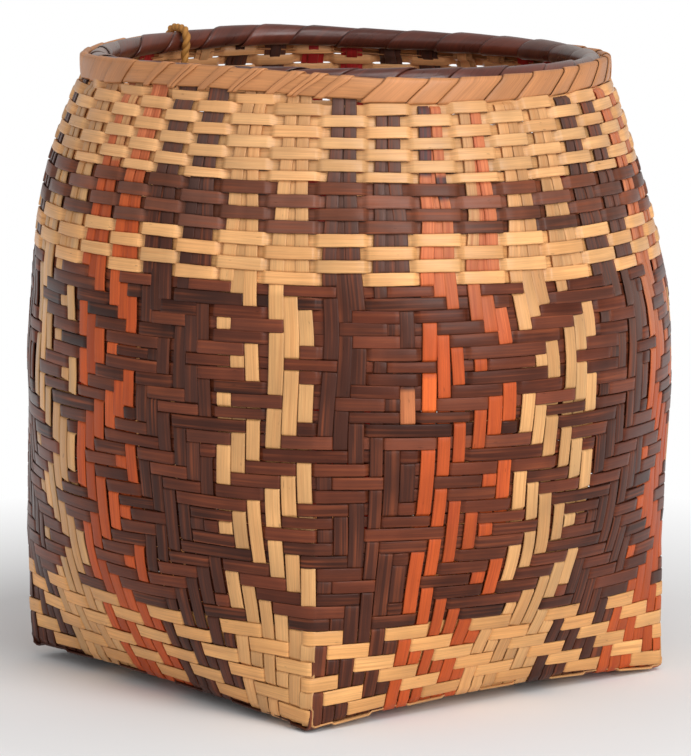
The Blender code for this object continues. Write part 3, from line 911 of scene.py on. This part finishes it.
# Painted sheen with some wear greys the top of the roll at the far left and the far right
worn = SHEEN_AND_WEAR_SHARE * (np.clip(away[:, 1], 0, 1) * np.abs(np.cos(bearings - VIEW_ANGLE)) ** 8)[:, None]
tone = tone * np.clip(shade, *SHADE_LIMITS)[:, None] * (1 - worn) + GREY_SHEEN_AND_WEAR * worn
cover = lay_band(bearings, ROLL_CENTRE + away[:, 0] * reach, ROLL_MIDDLE + away[:, 1] * reach, away,
                 half_turn, COVER_THICKNESS, tone, COVER_NUMBER, roll_lift, COVER_TUCK)
roll_cover = make_piece("inner_roll_cover", [cover], roll_finish, folds=8)
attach(roll_cover, "root")
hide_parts("rim_lashing")

# The lashing
# A natural splint binds the outer hoop to the wall. It slants up the outside, goes over the top
# edge, down between the hoops and out again through the wall, 37 times round. The wraps are
# broad at the right and at the far left, and narrow in between, where the hoop shows.
LASHING_THICKNESS = 0.0006
LASHING_DYE = dyed(193, 129, 79)
DYE_SPREAD = 0.07            # how much the wraps differ in it
FIRST_WRAP = 230
WRAP_OVERLAP = 1.04          # a broad wrap's width, as a share of the room that it has
WRAP_TUCK = -0.0003          # its trailing edge stands out this far over the wrap before
STRAND_SPACING = 1.04        # and how far apart a split wrap's strands are, in their widths
NARROW_FOOT = 0.72           # a narrow wrap is this share of its width under the hoop,
FOOT_HEIGHT = 0.0060         # and has the whole of it this far up
NARROW_LEAN = math.radians(5.4)
BROAD_LEAN = math.radians(4.8)
# Each narrow wrap's bearing, and how many strands it is split into
NARROW_WRAPS = ((-85.5, 1), (-78.2, 2), (-70.2, 1), (-62.9, 2), (-54.6, 1), (-49.8, 2), (-44.2, 1))
NARROW_WIDTH = 0.0052
# The bearings of the broad wraps' edges, to the right and on round the back, as far as the left
BROAD_EDGES = (-35.4, -26.0, -19.2, -8.7, -0.2, 10.0, 16.2, 27.0, 36.5, *np.linspace(46, 239, 19),
               249, 258, 265.5)
LASHING_GAP = 0.0005         # from the hoop's outer face to the middle of a wrap
outside = HOOP_RADIUS + HOOP_THICKNESS / 2 + LASHING_GAP
inside = 0.1066
low = HOOP_LOW.z - 0.0002
high = HOOP_HIGH.z
# Radius, height and share of the lean: out under the hoop, up it, over it and down inside
WRAP_ROUTE = np.array([
    (inside, low - 0.0002, -0.14),
    (HOOP_RADIUS + 0.0001, low - 0.0005, -0.10),
    (outside - 0.0002, low, -0.02),
    (outside, low + 0.0012, 0.10),
    (outside + 0.0001, HOOP_MIDDLE, 0.5),
    (outside, high - 0.0016, 0.86),
    (outside - 0.0003, high - 0.0004, 0.97),
    ((outside + inside) / 2, high + 0.0002, 1.08),
    (inside + 0.0002, high - 0.0004, 1.16),
    (inside, high - 0.0018, 1.2),
    (inside, HOOP_MIDDLE, 1.2),
])


def smooth_line(route, steps):
    """A smooth curve through the points of a route."""
    padded = np.concatenate([[2 * route[0] - route[1]], route, [2 * route[-1] - route[-2]]])
    line = []
    for before, start, end, after in zip(padded, padded[1:], padded[2:], padded[3:]):
        for step in range(steps):
            t = step / steps
            line.append(0.5 * (2 * start + (end - before) * t
                               + (2 * before - 5 * start + 4 * end - after) * t ** 2
                               + (3 * start - before - 3 * end + after) * t ** 3))
    return np.array(line + [route[-1]])


radius, height, lean = smooth_line(WRAP_ROUTE, 3).T
ahead = np.stack([np.gradient(radius), np.gradient(height)], -1)
away = np.stack([ahead[:, 1], -ahead[:, 0]], -1) / np.linalg.norm(ahead, axis=1, keepdims=True)
taper = np.interp(height - low, (0.0, FOOT_HEIGHT), (NARROW_FOOT, 1.0))
taper[len(taper) // 2:] = 1.0
strands = []
for start, end in zip(BROAD_EDGES, BROAD_EDGES[1:]):
    leaning = math.radians((start + end) / 2) + lean * BROAD_LEAN
    half_wrap = np.full(len(lean), WRAP_OVERLAP / 2 * math.radians(end - start))
    tone = LASHING_DYE * (1 + DYE_SPREAD * chance.normal())
    strands.append(lay_band(leaning, radius, height, away, half_wrap, LASHING_THICKNESS, tone,
                            FIRST_WRAP + len(strands), rim_lift, WRAP_TUCK))
for middle, split in NARROW_WRAPS:
    leaning = math.radians(middle) + lean * NARROW_LEAN
    half_strand = NARROW_WIDTH / 2 / HOOP_RADIUS / split * taper
    tone = LASHING_DYE * (1 + DYE_SPREAD * chance.normal())
    for side in (0,) if split == 1 else (-1, 1):
        strands.append(lay_band(leaning + STRAND_SPACING * side * half_strand, radius, height, away,
                                half_strand, LASHING_THICKNESS, tone, FIRST_WRAP + len(strands), rim_lift))
lashing_piece = make_piece("rim_binding", strands, hoop_finish, folds=1)
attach(lashing_piece, "root")
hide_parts("rim_lashing")

# The twine loop
# A short length of golden two-ply twine, 3.5 mm thick, is tied through the wall under the top
# row at the back left. It goes up over both hoops and its loose end hangs inside the mouth.
TWINE_RADIUS = 0.00175
TWINE_LAY = 0.008            # length in which the two strands turn once round each other
TWINE_ANGLE = math.radians(183)
TWINE_SHIFT = 0.0070         # its loose end hangs this far to the side of its hole
TWINE_GAP = 0.0003           # and it keeps this clear of the wall
PLY_OFFSET = 0.36            # a strand's middle and thickness, in the twine's radii
PLY_THICKNESS = 1.36
FIRST_PLY = 240
near = 0.0950                # how far from the basket's middle it hangs inside the rim,
far = 0.1120                 # and comes up outside it
middle_way = (near + far) / 2
top = 0.26141                # the height at which it crosses the rim
bend = 0.0035                # how far from a corner it starts to turn
hole = WEAVER_TOP - ROW_PITCHES[0]    # the height at which it goes through the wall
skin = float(wall_radius(hole)) + TWINE_GAP + TWINE_RADIUS
# Radius, height and share of the sideways shift, from the loose end inside
TWINE_ROUTE = np.array([
    (near, top - 0.0160, 1.0),
    (near, top - 0.0100, 1.0),
    (near - bend / 4, top - 0.0054, 0.97),
    (near + bend * 0.1, top - 0.0012, 0.88),
    (near + bend, top, 0.74),
    (middle_way, top + 0.0001, 0.52),
    (far - bend, top - bend * 0.1, 0.30),
    (far, top - bend * 0.7, 0.16),
    (skin + bend * 0.2, (top + hole) / 2, 0.07),
    (skin + bend * 0.35, hole + bend * 1.1, 0.02),
    (skin + bend * 0.15, hole + bend * 0.25, 0.0),
    (skin - bend * 0.4, hole, 0.0),
    (skin - bend * 1.3, hole, 0.0),
    (middle_way, hole, 0.0),
    (near + bend, hole, 0.0),
])
radius, height, shift = smooth_line(TWINE_ROUTE, 10).T
out = np.array([math.cos(TWINE_ANGLE), math.sin(TWINE_ANGLE), 0])
beside = np.array([-out[1], out[0], 0])
twine_line = out * radius[:, None] + beside * shift[:, None] * TWINE_SHIFT
twine_line[:, 2] = height
lengths = np.concatenate([[0], np.cumsum(np.linalg.norm(np.diff(twine_line, axis=0), axis=1))])
ahead = np.gradient(twine_line, axis=0)
ahead /= np.linalg.norm(ahead, axis=1, keepdims=True)
side = np.cross(ahead, [0.0, 1.0, 0.0])
side /= np.linalg.norm(side, axis=1, keepdims=True)
other = np.cross(ahead, side)
plies = []
for ply in range(2):
    turn = 2 * np.pi * lengths / TWINE_LAY + ply * np.pi
    away = side * np.cos(turn)[:, None] + other * np.sin(turn)[:, None]
    ply_thickness = TWINE_RADIUS * PLY_THICKNESS
    plies.append(lay_splint(twine_line + away * TWINE_RADIUS * PLY_OFFSET, away, ply_thickness,
                            ply_thickness, dyed(190, 130, 56), FIRST_PLY + ply, ROUND_SECTION))
twine_finish = cane("twine_fibre", dyed(140, 88, 36), 0.7, 0.75, (1.0, 1.0, 1.0), fibre_depth=0.0004)
twine = make_piece("twine", plies, twine_finish, folds=3)
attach(twine, "root")
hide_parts("twine_loop")

# The floor, the light and the camera
# A pale floor that fades to white, three large soft lamps and a low white sky. The camera stands
# where the basket is seen nearly corner on and from a little above its rim.
FLOOR_SIDE = 12.0
FLOOR_DROP = 0.0002          # the floor lies this far under the basket's feet
FLOOR_FADE = (0.20, 0.42)    # and fades to white between these distances from the middle
SKY_STRENGTH = 0.55          # on the basket; a camera sees the sky as white
bpy.ops.mesh.primitive_plane_add(size=FLOOR_SIDE, location=(0, 0, -FLOOR_DROP))
floor = bpy.context.object
floor.name = "floor"
pale = Finish("pale_floor")
pale.shader.inputs["Base Color"].default_value = (0.86, 0.86, 0.86, 1)
pale.shader.inputs["Roughness"].default_value = 0.9
seen = pale.put("ShaderNodeLightPath").outputs
plain = pale.math("MAXIMUM", pale.math("MAXIMUM", seen["Is Camera Ray"], seen["Is Glossy Ray"]),
                  seen["Is Transmission Ray"])
distance = pale.put("ShaderNodeVectorMath", operation="LENGTH",
                    s0=pale.put("ShaderNodeNewGeometry").outputs["Position"]).outputs["Value"]
white = pale.put("ShaderNodeEmission", s0=(1, 1, 1, 1), s1=1.0)
mixed = pale.put("ShaderNodeMixShader")
pale.feed(pale.math("MULTIPLY", plain, pale.between(distance, *FLOOR_FADE)), mixed.inputs[0])
pale.feed(pale.shader.outputs[0], mixed.inputs[1])
pale.feed(white.outputs[0], mixed.inputs[2])
pale.feed(mixed.outputs[0], pale.tree.nodes["Material Output"].inputs["Surface"])
floor.data.materials.append(pale.material)

world = bpy.data.worlds.new("studio")
bpy.context.scene.world = world
world.use_nodes = True
sky = world.node_tree
background = sky.nodes["Background"]
background.inputs["Color"].default_value = (1, 1, 1, 1)
rays = sky.nodes.new("ShaderNodeLightPath").outputs
brightest = sky.nodes.new("ShaderNodeMath")
brightest.operation = "MAXIMUM"
sky.links.new(rays["Is Camera Ray"], brightest.inputs[0])
sky.links.new(rays["Is Transmission Ray"], brightest.inputs[1])
strength = sky.nodes.new("ShaderNodeMapRange")
strength.inputs["To Min"].default_value = SKY_STRENGTH
strength.inputs["To Max"].default_value = 1.0
sky.links.new(brightest.outputs[0], strength.inputs["Value"])
sky.links.new(strength.outputs[0], background.inputs["Strength"])

CAMERA_DISTANCE = 2.061
CAMERA_HEIGHT = 0.450
CAMERA_PITCH = math.radians(9.06)
CAMERA_LENS = 237.6          # in millimetres
LAMP_AIM = 0.13              # the height that the lamps face


def lamp(name, bearing, distance, height, size, power):
    """A large square lamp that faces the basket, its bearing counted right from the camera."""
    data = bpy.data.lights.new(name, "AREA")
    data.size = size
    data.energy = power
    light = bpy.data.objects.new(name, data)
    angle = VIEW_ANGLE + math.radians(bearing)
    light.location = (distance * math.sin(angle), -distance * math.cos(angle), height)
    tilt = math.atan2(height - LAMP_AIM, distance)
    light.rotation_euler = (math.pi / 2 - tilt, 0, angle)
    bpy.context.scene.collection.objects.link(light)


lamp("key", 36, 1.9, 0.75, 1.0, 18)
lamp("fill", -40, 1.8, 0.7, 1.4, 3)
lamp("top", 25, 1.1, 1.7, 1.0, 11)

camera_data = bpy.data.cameras.new("camera")
camera_data.lens = CAMERA_LENS
camera_data.sensor_width = 36.0
camera = bpy.data.objects.new("camera", camera_data)
camera.location = (CAMERA_DISTANCE * math.sin(VIEW_ANGLE), -CAMERA_DISTANCE * math.cos(VIEW_ANGLE),
                   CAMERA_HEIGHT)
camera.rotation_euler = (math.pi / 2 - CAMERA_PITCH, 0, VIEW_ANGLE)
bpy.context.scene.collection.objects.link(camera)
bpy.context.scene.camera = camera
bpy.context.scene.view_settings.view_transform = "Standard"
